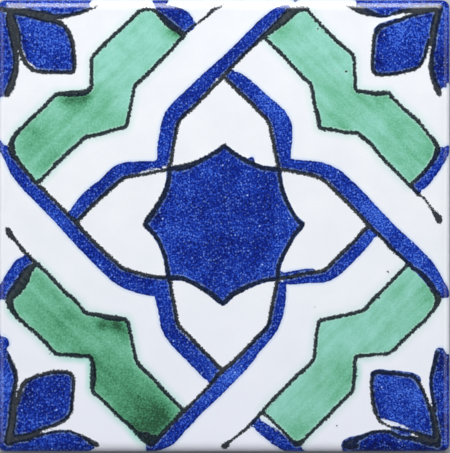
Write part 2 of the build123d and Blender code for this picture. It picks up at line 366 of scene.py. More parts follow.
# The green panels. One ink line runs round each, as (x, y, half width), and copper wash fills it.
green_panels = [
    [(-41.5, 9.5, .5), (-42.6, 10.7, .42), (-44.1, 12.4, .42), (-45.5, 14.2, .46), (-46.6, 15.7, .62),
     (-47.1, 17.3, .8), (-46.8, 19, .6), (-45.7, 20.7, .46), (-44.1, 22.3, .42), (-42.4, 24, .42),
     (-41, 25.3, .4), (-39.6, 26.6, .4), (-38.3, 28, .4), (-37.4, 28.9, .42), (-36.4, 29.2, .5),
     (-34.8, 29.2, .62), (-33.1, 29.3, .68), (-31.4, 29.4, .66), (-30.2, 29.8, .6), (-29.4, 30.7, .45),
     (-29.3, 32.4, .38), (-29.3, 34.6, .38), (-29.2, 37, .4), (-28.1, 38.5, .4), (-26.7, 40.1, .4),
     (-25.2, 41.4, .38), (-23.7, 42.8, .38), (-22.2, 44.2, .38), (-21.1, 45.2, .38), (-19.9, 46.4, .4),
     (-18.8, 47.4, .42), (-17.6, 47.9, .4), (-16.1, 47.9, .35), (-15, 47.4, .4), (-13.8, 46.2, .5),
     (-12.2, 44.7, .6), (-10.8, 43.7, .6), (-9.7, 42.7, .5), (-9.2, 41.8, .45), (-10.4, 40.5, .4),
     (-11.8, 38.8, .38), (-14, 36.6, .4), (-15.8, 34.7, .42), (-17.5, 33, .4), (-19.1, 31.6, .42),
     (-19.8, 30.7, .4), (-20.1, 29.2, .35), (-20.4, 27.7, .35), (-20.8, 25.7, .38), (-21.2, 23.9, .4),
     (-21.5, 22.4, .42), (-22.1, 21.8, .42), (-23.7, 21.4, .4), (-25.7, 20.8, .4), (-28.2, 20.1, .42),
     (-30.1, 19.8, .42), (-31.1, 19.3, .42), (-32.3, 18.1, .4), (-34.1, 16.6, .42), (-35.9, 14.8, .42),
     (-37, 13.9, .45), (-38.3, 12.4, .38), (-39.8, 10.9, .4)],
    [(8.9, 41.9, .42), (10.4, 43, .5), (12, 44.2, .5), (13.8, 45.5, .5), (15.4, 46.9, .5), (16.6, 47.7, .42),
     (18.3, 47.8, .4), (19.2, 47, .38), (20.1, 45.9, .35), (21.4, 44.6, .36), (22.7, 43.3, .38),
     (24, 41.9, .42), (25.3, 40.6, .42), (26.5, 39.7, .4), (27.7, 38.6, .4), (28.6, 37.7, .4),
     (28.9, 36.4, .36), (28.9, 34.6, .36), (29.1, 32.6, .36), (29.1, 31.2, .36), (29.4, 30, .42),
     (30.9, 29.7, .4), (32.8, 29.4, .5), (34.8, 29.3, .5), (36.4, 29.4, .42), (37.3, 28.4, .38),
     (38.8, 26.9, .38), (40.2, 25.6, .4), (41.4, 24.5, .42), (42.8, 23.4, .42), (44, 22, .36),
     (45.1, 20.5, .36), (46.2, 19.3, .4), (46.9, 18.4, .5), (47.3, 17.4, .6), (47.2, 16.3, .6),
     (46.7, 15, .55), (45.9, 13.8, .5), (44.8, 12.4, .42), (43.4, 10.9, .4), (42, 9.6, .42), (41.2, 9, .42),
     (39.8, 10.3, .36), (38.3, 11.8, .38), (36.8, 13.3, .38), (35.6, 14.5, .42), (34.1, 16.2, .38),
     (32.8, 17.8, .4), (31.6, 18.9, .46), (30.5, 19.8, .46), (29.4, 20.6, .4), (27.4, 20.6, .38),
     (25.4, 21, .38), (23.7, 21.3, .4), (21.9, 21.5, .42), (21.2, 21.9, .45), (21, 23.2, .5),
     (20.7, 24.7, .5), (20.1, 26.7, .38), (19.8, 28.7, .38), (19.5, 30.4, .4), (19.1, 31.5, .4),
     (17.6, 32.8, .4), (16, 34.5, .4), (14.5, 36.1, .38), (13.2, 37.6, .38), (11.9, 38.9, .42),
     (10.5, 40.2, .38), (9.4, 41.3, .4)],
    [(40.8, -8.5, .45), (42.2, -9.5, .45), (43.6, -10.5, .5), (44.9, -11.8, .6), (45.8, -13.1, .66),
     (46.8, -14.7, .7), (47.5, -16, .74), (47.1, -17.3, .52), (46.5, -18.5, .38), (45.5, -19.7, .36),
     (44.6, -20.9, .36), (43.2, -22.1, .38), (41.8, -23.4, .38), (40.4, -24.7, .36), (39.2, -25.9, .36),
     (38.2, -26.9, .36), (37, -28, .36), (35.8, -28.4, .36), (33.8, -28.5, .36), (31.9, -28.7, .4),
     (30.2, -28.8, .42), (29.2, -29.2, .45), (29, -30.5, .42), (29, -32.3, .42), (28.8, -34.3, .42),
     (28.6, -36, .42), (28.1, -37.1, .4), (27.1, -38, .36), (25.8, -39.3, .38), (24.5, -40.6, .4),
     (23.1, -42.1, .42), (21.7, -43.5, .38), (20.3, -44.8, .36), (19, -46.1, .34), (17.8, -47.3, .38),
     (16.8, -48.1, .6), (16.2, -48.4, .62), (15.2, -47.7, .45), (14, -46.5, .34), (12.8, -45.2, .34),
     (11.5, -44, .32), (10.2, -42.7, .32), (9, -41.6, .36), (8.7, -41, .4), (9.5, -40, .36),
     (10.8, -38.6, .36), (12.2, -37.2, .38), (13.6, -35.8, .36), (15, -34.4, .38), (16.3, -33.1, .4),
     (17.6, -32, .42), (19, -30.7, .42), (19.8, -29.7, .4), (20.1, -28.4, .38), (20.2, -26.9, .36),
     (20.4, -25.1, .36), (20.6, -23.4, .36), (20.9, -21.9, .38), (21.3, -21, .42), (21.9, -20.8, .42),
     (23.4, -20.5, .4), (24.9, -20.2, .4), (26.9, -19.8, .38), (28.9, -19.3, .4), (30.3, -18.9, .42),
     (31.5, -18.3, .42), (32.4, -17, .4), (33.7, -15.7, .42), (35, -14.4, .38), (36.4, -13, .36),
     (37.8, -11.6, .36), (39.2, -10.1, .36), (40.4, -8.9, .38)],
    [(-41.6, -8.5, .5), (-40.6, -9.2, .45), (-39.4, -10.2, .4), (-38.1, -11.6, .4), (-36.8, -13, .38),
     (-35.6, -14.3, .42), (-34.5, -15.3, .45), (-33.1, -16.4, .4), (-31.9, -17.8, .38), (-30.8, -19.1, .42),
     (-30, -19.5, .42), (-28.2, -19.7, .45), (-26.2, -20.2, .6), (-24.2, -20.5, .64), (-22.7, -20.7, .5),
     (-21.7, -20.9, .42), (-21.2, -21.9, .42), (-20.8, -23.4, .38), (-20.5, -24.9, .36), (-20.2, -26.4, .36),
     (-19.8, -28.1, .36), (-19.5, -29.5, .38), (-19.1, -30.4, .4), (-18.3, -31.3, .42), (-17.1, -32.5, .42),
     (-15.8, -33.7, .38), (-14.6, -35, .38), (-13.3, -36.5, .42), (-12, -37.8, .42), (-10.8, -39, .38),
     (-9.7, -40.1, .38), (-9.1, -40.9, .5), (-9.8, -41.9, .5), (-10.8, -43, .45), (-12, -44.2, .45),
     (-13.1, -45.4, .5), (-14.1, -46.6, .5), (-15.1, -47.7, .5), (-16.2, -48.5, .45), (-17.2, -48, .4),
     (-18.3, -47.1, .42), (-19.4, -45.8, .42), (-20.3, -44.8, .4), (-21.7, -43.5, .38), (-23, -42.5, .38),
     (-24.3, -41.2, .38), (-25.5, -40, .38), (-26.5, -39, .38), (-27.6, -38, .38), (-28.6, -37.2, .42),
     (-29.1, -36.2, .5), (-29, -34.8, .62), (-28.9, -32.8, .66), (-29, -31.1, .55), (-29.3, -29.7, .45),
     (-29.8, -28.9, .45), (-31, -28.9, .42), (-32.6, -28.7, .5), (-34.6, -28.6, .42), (-36.1, -28.5, .42),
     (-37.2, -28.3, .42), (-38.1, -27.5, .4), (-39.2, -26.2, .45), (-40.4, -25.1, .4), (-41.6, -23.8, .38),
     (-43.2, -22.6, .4), (-44.6, -21.3, .42), (-45.8, -20.1, .48), (-46.7, -18.9, .6), (-47.3, -17.6, .78),
     (-47.5, -16.3, .9), (-46.7, -15.1, .8), (-45.4, -13.4, .8), (-44.2, -11.6, .8), (-43, -9.9, .7)],
]

# The cobalt. Strokes of a flat brush follow one side of each strap, as (x, y, half width), and pools
# fill the star, the petals and the corners up to their ink lines, as (x, y).
cobalt_strokes = [
    [(-33.3, 2.3, .8), (-32.6, 3.2, 1.3), (-31.7, 4.4, 1.42), (-30.3, 6.1, 1.35), (-28.5, 7.7, 1.42),
     (-26.6, 9.1, 1.4), (-25.1, 10.6, 1.44), (-23.6, 11.8, 1.54), (-21.9, 12.7, 1.32), (-19.7, 13.1, 1.12),
     (-17.6, 13.4, .92), (-15.7, 13.6, .72), (-14.2, 14, .9)],
    [(-13.7, 14.3, 1.05), (-13.5, 16.1, 1.3), (-13.2, 18.1, 1.45), (-12.8, 20.1, 1.5), (-12.4, 22.2, 1.55),
     (-11.7, 24.1, 1.6), (-10.5, 25.6, 1.72), (-9, 27.2, 1.7), (-7.4, 28.7, 1.66), (-5.9, 30.4, 1.5),
     (-4.4, 31.9, 1.42), (-2.9, 33.5, 1.3), (-1.4, 34.8, 1.3), (0.1, 36.1, 1.3), (1.7, 37.6, 1.32),
     (3.3, 39.1, 1.32), (4.9, 40.7, 1.32), (6.5, 42.3, 1.3), (8, 43.9, 1.3), (9.5, 45.3, 1.25),
     (11, 46.6, 1.15), (12.4, 47.7, .92), (13.8, 48.4, .5)],
    [(1.7, 33.4, .72), (2.7, 32.9, 1.22), (4.1, 31.9, 1.4), (5.9, 30.3, 1.48), (7.6, 28.7, 1.55),
     (9.4, 27, 1.62), (11, 25.5, 1.75), (12.3, 23.9, 1.88), (13.1, 22.1, 1.95), (13.3, 20.1, 1.88),
     (13.4, 18.2, 1.68), (13.5, 16.3, 1.32), (13.6, 14.8, 1.3)],
    [(13.6, 14.1, 1.0), (16, 13.6, 1.1), (18.5, 13.3, 1.15), (20.9, 12.9, 1.3), (23.2, 12, 1.45),
     (25.1, 10.8, 1.6), (26.9, 9, 1.7), (28.9, 7, 1.75), (30.9, 5, 1.72), (32.8, 2.9, 1.72),
     (34.8, 0.8, 1.72), (36.8, -1.4, 1.8), (38.8, -3.4, 1.95), (40.8, -5.3, 2.02), (42.8, -7.3, 2.0),
     (44.6, -9.1, 1.95), (46, -10.9, 1.78), (47.3, -12.7, 1.5), (48.5, -14.2, 1.2), (49.3, -15.1, .85)],
    [(-50.1, 18.2, .95), (-48.9, 16.8, .85), (-48, 15.2, .82), (-47.1, 13.5, .95), (-46.1, 11.8, 1.1),
     (-44.7, 10.1, 1.2), (-43.4, 8.6, 1.2), (-41.8, 7, 1.2), (-40.2, 5.4, 1.2), (-38.6, 3.8, 1.22),
     (-36.9, 2.1, 1.28), (-35.3, 0.4, 1.32), (-33.8, -1.2, 1.36), (-32.2, -3, 1.34), (-30.7, -4.6, 1.32),
     (-29.1, -6.2, 1.34), (-27.4, -7.9, 1.4), (-25.7, -9.4, 1.48), (-23.9, -10.9, 1.62), (-21.9, -12.1, 1.7),
     (-19.7, -12.9, 1.75), (-17.8, -13.4, 1.8), (-15.8, -13.7, 1.85), (-13.9, -13.7, 1.85)],
    [(-13.9, -14.2, 1.75), (-13.6, -16.2, 1.6), (-13.2, -18, 1.55), (-12.8, -19.9, 1.55),
     (-12.5, -21.7, 1.6), (-11.9, -23.2, 1.6), (-10.9, -24.8, 1.55), (-9.4, -26.4, 1.65),
     (-7.7, -27.9, 1.76), (-6.2, -29.4, 1.8), (-4.9, -30.7, 1.82), (-3.9, -31.8, 1.84), (-3.2, -32.6, 1.65)],
    [(-16.4, -49.6, .9), (-14.8, -48.9, .95), (-12.9, -47.9, 1.3), (-11.2, -46.5, 1.4), (-9.6, -44.7, 1.32),
     (-8, -43, 1.32), (-6.4, -41.3, 1.26), (-4.8, -39.7, 1.3), (-3.3, -38.2, 1.38), (-1.7, -36.6, 1.42),
     (-0.2, -35.1, 1.42), (1.3, -33.6, 1.4), (2.8, -32.2, 1.32), (4.2, -30.8, 1.24), (5.6, -29.3, 1.16),
     (6.8, -27.6, 1.08), (8.2, -26, 1.08), (9.5, -24.5, 1.12), (10.8, -22.7, 1.12), (11.6, -20.9, 1.12),
     (12.2, -19, 1.1), (12.6, -17, 1.0), (12.9, -15, .9), (13, -13.4, .8)],
    [(13.8, -12.5, .45), (16, -12.4, .6), (18, -12.1, .68), (19.9, -11.9, .78), (21.9, -11.7, .92),
     (23.7, -10.9, 1.05), (25.3, -9.6, 1.18), (26.9, -8, 1.22), (28.5, -6.4, 1.26), (30.1, -4.7, 1.26),
     (31.5, -3.1, 1.22), (32.4, -2, 1.05)],
    [(13, -10.7, .28), (15, -10.3, .28), (17.5, -10, .26), (19.4, -9.9, .2)],
    # short strokes at the ends of the panels
    [(-44, -7.9, .95), (-45.1, -8.5, 1.28), (-46.2, -10, 1.32), (-47.3, -11.8, 1.35), (-48.4, -13.5, 1.3),
     (-49.7, -15, 1.4)],
    [(7.4, -43.9, .95), (8.5, -44.8, 1.32), (10, -45.9, 1.38), (11.4, -47.1, 1.36), (12.9, -48.2, 1.3),
     (14.5, -49.1, 1.2), (16.2, -49.9, .95), (17.3, -50.5, .9)],
    [(43, 8.3, .75), (44.1, 9.4, 1.1), (45.3, 10.8, 1.15), (46.6, 12.5, 1.1), (47.7, 14.3, 1.2),
     (48.6, 15.9, 1.1), (49.5, 17, .75)],
    [(-8.6, 44.4, 1.1), (-8.4, 45, 1.75), (-9.6, 45.9, 2.1), (-11.2, 46.7, 1.9), (-12.7, 47.6, 1.3),
     (-13.9, 48.6, .8), (-14.1, 50.2, 1.8)],
    [(15.8, 50.1, .5), (16.2, 50.3, .4)],
    [(6.1, 14.5, .34), (6.3, 15, .3)],
    [(37.8, -45.2, .35), (39.3, -45.7, .5), (40.8, -46, .35)],
    [(33.2, -33, .3), (34.4, -32.5, .34), (36.8, -32.6, .22), (39.3, -32.8, .26), (41.2, -33.2, .42),
     (42.8, -33.9, .48)],
    [(33.8, 43.3, .24), (34.9, 44.2, .3), (36.5, 44.8, .22), (38.3, 45.4, .16)],
]
cobalt_pools = [
    [(0.1, 17.4), (-2.5, 15.8), (-5.9, 14), (-8.8, 12.9), (-12, 12.5), (-12.4, 9.8), (-13.6, 6.3),
     (-15.3, 3.3), (-17.2, 0.3), (-15.3, -2.1), (-13.6, -5.2), (-12.7, -8.5), (-12.1, -11.4), (-8.8, -11.8),
     (-5.7, -13.3), (-2.6, -15.4), (-0.2, -17.2), (2.1, -15.2), (5.6, -13.4), (9, -12.1), (11.8, -11.5),
     (12.2, -9), (13.4, -5.9), (15.2, -2.7), (17.4, 0.3), (15.6, 2.2), (13.9, 5.4), (12.7, 8.8), (12, 12.3),
     (8.4, 12.9), (5.3, 14.2), (2.1, 16.1)],
    [(-46.2, 46.6), (-44.1, 46.3), (-41.6, 45.6), (-39.6, 45), (-37.6, 44.7), (-36, 43.9), (-35.1, 42.9),
     (-34.5, 41.6), (-34.1, 39.6), (-33.8, 37.6), (-33.7, 35.6), (-33.9, 34.6), (-35.1, 34.4), (-37.1, 34.4),
     (-39.6, 34.6), (-41.2, 35.1), (-42.6, 36.3), (-43.6, 37.9), (-44.3, 39.6), (-44.7, 41.6), (-45, 43.6),
     (-45.8, 45.3)],
    [(-51, 48.1), (-49.2, 47.7), (-48.6, 46.5), (-48.1, 44.1), (-47.6, 41.6), (-47.1, 39.6), (-46.8, 36.6),
     (-47, 35.1), (-47.5, 32.6), (-48.2, 31), (-48.8, 29.7), (-49.2, 28.8), (-51, 28.8)],
    [(-52.5, 53.5), (-51.5, 48.9), (-47.5, 48.7), (-45.5, 48.5), (-42.6, 48), (-39.6, 47.5), (-36.6, 46.8),
     (-34.6, 46.9), (-32.6, 47.5), (-30.7, 48.2), (-29.9, 49), (-29.9, 53.5)],
    [(46.1, 46.9), (43.8, 46.4), (41.8, 46.3), (39.8, 45.7), (37.8, 45), (35.8, 44.3), (34.6, 43.2),
     (33.9, 41.6), (33.6, 39.6), (33.4, 37.1), (33.4, 35.1), (34, 34.1), (35.8, 33.9), (37.8, 34.1),
     (39.8, 34.5), (41.8, 35.1), (43.2, 36), (44.1, 37.6), (44.7, 39.6), (45.1, 41.6), (45.6, 43.6),
     (46.1, 45.5)],
    [(52.7, 53.5), (29.6, 53.5), (29.7, 48.9), (30.6, 48.2), (32.1, 47.4), (33.8, 46.7), (35.8, 46.6),
     (37.8, 47.3), (39.8, 48), (41.8, 48.5), (45.7, 48.8), (49.7, 49)],
    [(51.2, 49), (48.3, 48.8), (47.9, 46.5), (47.4, 44.6), (47.1, 42.6), (46.7, 40.6), (46.4, 38.6),
     (46.3, 36.1), (46.5, 34.1), (47.1, 31.9), (47.7, 31), (48.5, 30.8), (49.2, 30.5), (49.5, 31.7),
     (51.2, 31.7)],
    [(-46.3, -46.3), (-46, -44.3), (-45.7, -42.3), (-45.3, -40.3), (-44.7, -38.3), (-44, -36.6),
     (-43.4, -35.2), (-42.1, -34.3), (-40.1, -33.6), (-38.1, -33.1), (-36.1, -32.9), (-34.6, -33.1),
     (-34, -34.3), (-33.9, -36.8), (-34, -39.3), (-34.4, -41.3), (-35.6, -42.6), (-37.1, -43.4),
     (-39.1, -44.2), (-40.8, -44.8), (-42.6, -45.5), (-44.6, -46.1)],
    [(-51, -24.5), (-49.3, -24.5), (-48.4, -24.6), (-47.7, -25.4), (-47.6, -26.5), (-48.1, -27.3),
     (-47.9, -28.7), (-47.3, -30.3), (-46.7, -31.9), (-46.6, -33.8), (-46.8, -35.8), (-47.2, -37.8),
     (-47.4, -39.8), (-47.7, -41.8), (-48, -44.3), (-48.5, -46.2), (-48.6, -48.1), (-47.9, -48.8),
     (-46.5, -48.3), (-44.6, -47.9), (-42.6, -47.4), (-40.6, -46.7), (-38.6, -46.1), (-35.6, -45.7),
     (-33.4, -46.1), (-31.2, -47.2), (-29.4, -48.5), (-29.1, -49.5), (-30.7, -50.5), (-32.6, -53.7),
     (-52.5, -53.7)],
    [(33.3, -33.6), (34.8, -33.1), (36.8, -33.1), (38.8, -33.3), (40.8, -33.7), (42.2, -34.4), (43.1, -35.8),
     (43.9, -37.3), (44.8, -39.3), (45.5, -41.3), (46.1, -43.3), (46.5, -45.2), (46.5, -46.9), (44.6, -46.4),
     (43, -45.5), (41.8, -44.9), (39.8, -44.2), (37.8, -43.5), (35.8, -42.8), (34.6, -41.9), (33.9, -40.3),
     (33.4, -37.8), (33.2, -35.8)],
    [(47.9, -27), (47.2, -27.6), (46.9, -28.9), (46.6, -30.9), (46.1, -32.8), (45.9, -34.8), (46.1, -36.8),
     (46.5, -38.8), (47, -40.8), (47.5, -42.8), (47.9, -44.8), (48.1, -46.7), (48.1, -48.9), (52.7, -53.7),
     (52.7, -28.9), (49.7, -28.5), (49, -27.8), (48.6, -27.2)],
    [(26.7, -47.9), (27.9, -47.1), (29.4, -46.9), (31.4, -46.4), (33.3, -45.9), (35.8, -45.8), (37.8, -46.3),
     (39.8, -46.8), (41.8, -47.3), (43.8, -47.9), (45.7, -48.5), (48.3, -49), (52.7, -53.7), (26.9, -53.7),
     (26.4, -49.7)],
]

# Where the colours ran together or were wiped thin, as (x, y, reach, how much deeper).
green_spots = [
    (-33, 28.2, 1.8, 0.4), (-30.5, 28.6, 1.4, 0.3), (-35.5, 27.8, 1.6, 0.3), (-34, 27, 4, 0.1),
    (-43, 21, 4.5, 0.22), (-38, 16, 6, 0.18), (-25, 37, 8, -0.08), (-10.5, 43.3, 2, 0.6),
    (-15, 42, 4, -0.08), (-29, 25, 6, 0.16), (-23, 24, 3, 0.06), (13, 44, 2.2, 0.22), (22, 38, 8, -0.04),
    (35, 29, 2.5, 0.22), (30, 30, 2.5, 0.2), (40, 20, 7, 0.12), (44, 15, 4, 0.1), (26, 24, 5, 0.12),
    (46, -14, 3, 0.25), (38, -21, 7, 0.02), (17, -46, 5, 0.16), (13, -38, 6, -0.08), (27, -35, 4, 0.16),
    (26, -24, 6, -0.06), (-22, -23, 3, 0.34), (-26.6, -21.6, 1.5, 0.4), (-24, -21.9, 1.5, 0.4),
    (-42, -12, 4, 0.16), (-36, -22, 8, 0.36), (-18, -41, 8, 0.52), (-13.8, -41.6, 2.4, 0.3),
    (-19, -44.6, 2.4, 0.14), (-15, -46, 3.5, 0.3), (-26, -32, 7, 0.3), (-31.4, -31.4, 2.4, 0.8),
    (-47.9, -19.8, 2.0, 0.6), (31.2, -31.2, 2.2, 0.5), (-34.8, -30.6, 1.8, 0.5), (-30.9, -34.8, 1.8, 0.5),
    (30.6, -33.6, 1.8, 0.5), (-20.8, -47, 1.8, 0.5),
]
cobalt_spots = [
    (-13, 3, 5, -0.1), (0, -9, 8, 0.05), (6, 6, 9, 0.05), (15, -2, 4, -0.14), (-6, 12, 4, 0.06),
    (1, 12, 4, 0.12), (-36, -37, 3, 0.14), (5, -6, 4, 0.08), (-40, 41, 7, -0.12), (40, 41, 7, -0.13),
    (-40, -39, 7, 0.04), (40, -39, 7, -0.16), (-11, 46, 4, 0.16), (37, -1, 9, -0.27), (-37, 2, 9, -0.1),
    (0, -35, 9, -0.26), (13, 24, 5, -0.14), (-49, -36, 5, -0.28), (33, -47.6, 4, 0.4),
    (37.5, -47.5, 2.5, 0.25), (47.6, 36, 2.6, 0.4), (-44, -36.6, 2.4, 0.4), (47.8, -30, 3, 0.4),
    (-12.9, 6.5, 1.9, 0.5), (-15.1, 2.4, 1.8, 0.5), (45, -49, 3, 0.3), (47.9, -44.5, 1.8, 0.3),
    (34.8, 42.6, 1.6, 0.4), (47.2, -39, 1.8, 0.3), (34.2, 36, 1.6, 0.35), (-26, 10.5, 3, 0.15),
    (-5.5, -31.5, 3, 0.25), (-11.5, 45.6, 2.4, 0.25),
]


def brush_lines(name, strokes, closed):
    """Brush lines as one curve object, in millimetres, with the half width at each point as its radius."""
    curve = bpy.data.curves.new(name, "CURVE")
    curve.dimensions = "3D"
    for stroke in strokes:
        spline = curve.splines.new("POLY")
        spline.points.add(len(stroke) - 1)
        for point, (x, y, *half_width) in zip(spline.points, stroke):
            point.co = (x, y, 0, 1)
            point.radius = half_width[0] if half_width else 0
        spline.use_cyclic_u = closed
    thing = bpy.data.objects.new(name, curve)
    bpy.context.scene.collection.objects.link(thing)
    return thing


brushwork_objects = {
    "Ink lines": brush_lines("ink_lines", ink_lines, closed=False),
    "Panel outlines": brush_lines("panel_outlines", green_panels, closed=True),
    "Cobalt strokes": brush_lines("cobalt_strokes", cobalt_strokes, closed=False),
    "Cobalt pools": brush_lines("cobalt_pools", cobalt_pools, closed=True),
}


def spread(spots, ground):
    """How deep a colour lies at each point of the slab, from where it ran together or was wiped thin."""
    depth = np.full(len(laid_flat), ground)
    for x, y, reach, more in spots:
        depth += more * np.exp(-((laid_flat[:, 0] - x) ** 2 + (laid_flat[:, 1] - y) ** 2) / reach**2)
    return depth


keep(slab, "green_depth", "FLOAT", spread(green_spots, ground=0.3))
keep(slab, "cobalt_depth", "FLOAT", spread(cobalt_spots, ground=0.5))


def add(tree, kind, feeds, out=0, stops=(), **settings):
    """Adds one node with its settings, feeds its sockets and gives back one of its outputs. Sockets
    that share a name go by number: Map Range maps value 0 from 1 to 2 onto 3 to 4, and Mix goes by
    factor 0 between the numbers 2 and 3 or the colours 6 and 7. The stops are a colour ramp's, as
    (position, sRGB hex)."""
    node = tree.nodes.new(kind)
    for name, value in settings.items():
        setattr(node, name, value)
    for _ in stops[2:]:  # a new ramp has two already
        node.color_ramp.elements.new(0.5)
    if stops:
        for element, (position, hex_colour) in zip(node.color_ramp.elements, stops):
            element.position = position
            element.color = linear(hex_colour)
    for socket, value in feeds.items():
        if isinstance(value, bpy.types.NodeSocket):
            tree.links.new(value, node.inputs[socket])
        else:
            node.inputs[socket].default_value = value
    return node.outputs[out]


# The fired tile. This tree measures each point's gap to the edge of every colour, raises the ink and
# the cobalt by what the brush left, presses the pockets into the back and closes the skin.
firing = bpy.data.node_groups.new("painted_and_fired", "GeometryNodeTree")
inputs = {
    "Slab": "NodeSocketGeometry",
    **{name: "NodeSocketObject" for name in (*brushwork_objects, "Key land", "Pocket")},
    "Point spacing": "NodeSocketFloat",
    "Widest stroke": "NodeSocketFloat",
    "Ink ridge": "NodeSocketFloat",
    "Cobalt rise": "NodeSocketFloat",
    "Glaze waves": "NodeSocketFloat",
    "Pocket pitch": "NodeSocketFloat",
    "Pockets in a row": "NodeSocketInt",
    "Glaze": "NodeSocketMaterial",
    "Biscuit": "NodeSocketMaterial",
}
sockets = {}
for name, kind in inputs.items():
    sockets[name] = firing.interface.new_socket(name=name, in_out="INPUT", socket_type=kind)
firing.interface.new_socket(name="Tile", in_out="OUTPUT", socket_type="NodeSocketGeometry")
given = firing.nodes.new("NodeGroupInput").outputs
spot = add(firing, "GeometryNodeInputNamedAttribute", {"Name": "laid_flat"}, data_type="FLOAT_VECTOR")
widest_squared = add(firing, "ShaderNodeMath", {0: given["Widest stroke"], 1: 2.0}, operation="POWER")


def drawn(name):
    """One of the brushwork objects as smooth lines with closely spaced points."""
    lines = add(firing, "GeometryNodeObjectInfo", {"Object": given[name]}, "Geometry")
    smooth = add(firing, "GeometryNodeCurveSplineType", {"Curve": lines}, spline_type="CATMULL_ROM")
    return add(firing, "GeometryNodeResampleCurve", {"Curve": smooth, "Length": given["Point spacing"]},
               mode="LENGTH")


def gap_to_strokes(name):
    """Gap from a point to the nearest stroke's edge, negative under the stroke. Thin stretches are
    lifted further off the face than wide ones, so that the nearest line is the one whose edge is
    nearest, and its lift gives its width back."""
    radius = add(firing, "GeometryNodeInputRadius", {})
    squared = add(firing, "ShaderNodeMath", {0: radius, 1: radius}, operation="MULTIPLY")
    left = add(firing, "ShaderNodeMath", {0: widest_squared, 1: squared}, operation="SUBTRACT")
    lift = add(firing, "ShaderNodeMath", {0: left}, operation="SQRT")
    upward = add(firing, "ShaderNodeCombineXYZ", {"Z": lift})
    lifted = add(firing, "GeometryNodeSetPosition", {"Geometry": drawn(name), "Offset": upward})
    wire = add(firing, "GeometryNodeCurveToMesh", {"Curve": lifted})
    nearest = add(firing, "GeometryNodeProximity", {0: wire, "Sample Position": spot},
                  target_element="EDGES")
    across = add(firing, "ShaderNodeVectorMath", {0: spot, 1: nearest}, operation="SUBTRACT")
    level = add(firing, "ShaderNodeVectorMath", {0: across, 1: (1, 1, 0)}, operation="MULTIPLY")
    distance = add(firing, "ShaderNodeVectorMath", {0: level}, "Value", operation="LENGTH")
    height = add(firing, "ShaderNodeSeparateXYZ", {0: nearest}, "Z")
    height_squared = add(firing, "ShaderNodeMath", {0: height, 1: height}, operation="MULTIPLY")
    rest = add(firing, "ShaderNodeMath", {0: widest_squared, 1: height_squared}, operation="SUBTRACT")
    rest = add(firing, "ShaderNodeMath", {0: rest, 1: 0.0}, operation="MAXIMUM")
    half_width = add(firing, "ShaderNodeMath", {0: rest}, operation="SQRT")
    return add(firing, "ShaderNodeMath", {0: distance, 1: half_width}, operation="SUBTRACT")


def gap_to_outlines(name):
    """Gap from a point to the nearest filled shape's outline, negative inside the shape."""
    outline = drawn(name)
    index = add(firing, "GeometryNodeInputIndex", {})
    filled = add(firing, "GeometryNodeFillCurve", {"Curve": outline, "Group ID": index})
    outside = add(firing, "GeometryNodeProximity", {0: filled, "Sample Position": spot}, "Distance",
                  target_element="FACES")
    wire = add(firing, "GeometryNodeCurveToMesh", {"Curve": outline})
    inside = add(firing, "GeometryNodeProximity", {0: wire, "Sample Position": spot}, "Distance",
                 target_element="EDGES")
    twice = add(firing, "ShaderNodeMath", {0: outside, 1: 2.0}, operation="MULTIPLY")
    return add(firing, "ShaderNodeMath", {0: twice, 1: inside}, operation="SUBTRACT")


line_gap = gap_to_strokes("Ink lines")
outline_gap = gap_to_strokes("Panel outlines")
stroke_gap = gap_to_strokes("Cobalt strokes")
pool_gap = gap_to_outlines("Cobalt pools")
gaps = {
    "ink_gap": add(firing, "ShaderNodeMath", {0: line_gap, 1: outline_gap}, operation="MINIMUM"),
    "cobalt_gap": add(firing, "ShaderNodeMath", {0: stroke_gap, 1: pool_gap}, operation="MINIMUM"),
    "green_gap": gap_to_outlines("Panel outlines"),
}
painted = given["Slab"]
for name, gap in gaps.items():
    painted = add(firing, "GeometryNodeStoreNamedAttribute",
                  {"Geometry": painted, "Name": name, "Value": gap}, data_type="FLOAT")

# The brush leaves the ink as a low ridge and the cobalt as a thin swelling, on a glaze that waves.
# The relief dies out down the sides, from 6 to 3 mm above the foot.
stored_ink = add(firing, "GeometryNodeInputNamedAttribute", {"Name": "ink_gap"})
stored_cobalt = add(firing, "GeometryNodeInputNamedAttribute", {"Name": "cobalt_gap"})
ridge = add(firing, "ShaderNodeMapRange", {0: stored_ink, 1: 0.15, 2: -0.45, 3: 0.0, 4: given["Ink ridge"]},
            interpolation_type="SMOOTHSTEP")
rise = add(firing, "ShaderNodeMapRange",
           {0: stored_cobalt, 1: 0.1, 2: -1.2, 3: 0.0, 4: given["Cobalt rise"]},
           interpolation_type="SMOOTHSTEP")
waves = add(firing, "ShaderNodeTexNoise", {"Vector": spot, "Scale": 1 / 7, "Detail": 1.0})
swell = add(firing, "ShaderNodeMapRange", {0: waves, 3: 0.0, 4: given["Glaze waves"]})
brushed = add(firing, "ShaderNodeMath", {0: ridge, 1: rise}, operation="ADD")
raised = add(firing, "ShaderNodeMath", {0: brushed, 1: swell}, operation="ADD")
position = add(firing, "GeometryNodeInputPosition", {})
above_foot = add(firing, "ShaderNodeSeparateXYZ", {0: position}, "Z")
fading = add(firing, "ShaderNodeMapRange", {0: above_foot, 1: 3 * mm, 2: 6 * mm, 3: 0.0, 4: mm})
raised = add(firing, "ShaderNodeMath", {0: raised, 1: fading}, operation="MULTIPLY")
normal = add(firing, "GeometryNodeInputNormal", {})
offset = add(firing, "ShaderNodeVectorMath", {0: normal, "Scale": raised}, operation="SCALE")
fired = add(firing, "GeometryNodeSetPosition", {"Geometry": painted, "Offset": offset})
glazed = add(firing, "GeometryNodeSetMaterial", {"Geometry": fired, "Material": given["Glaze"]})

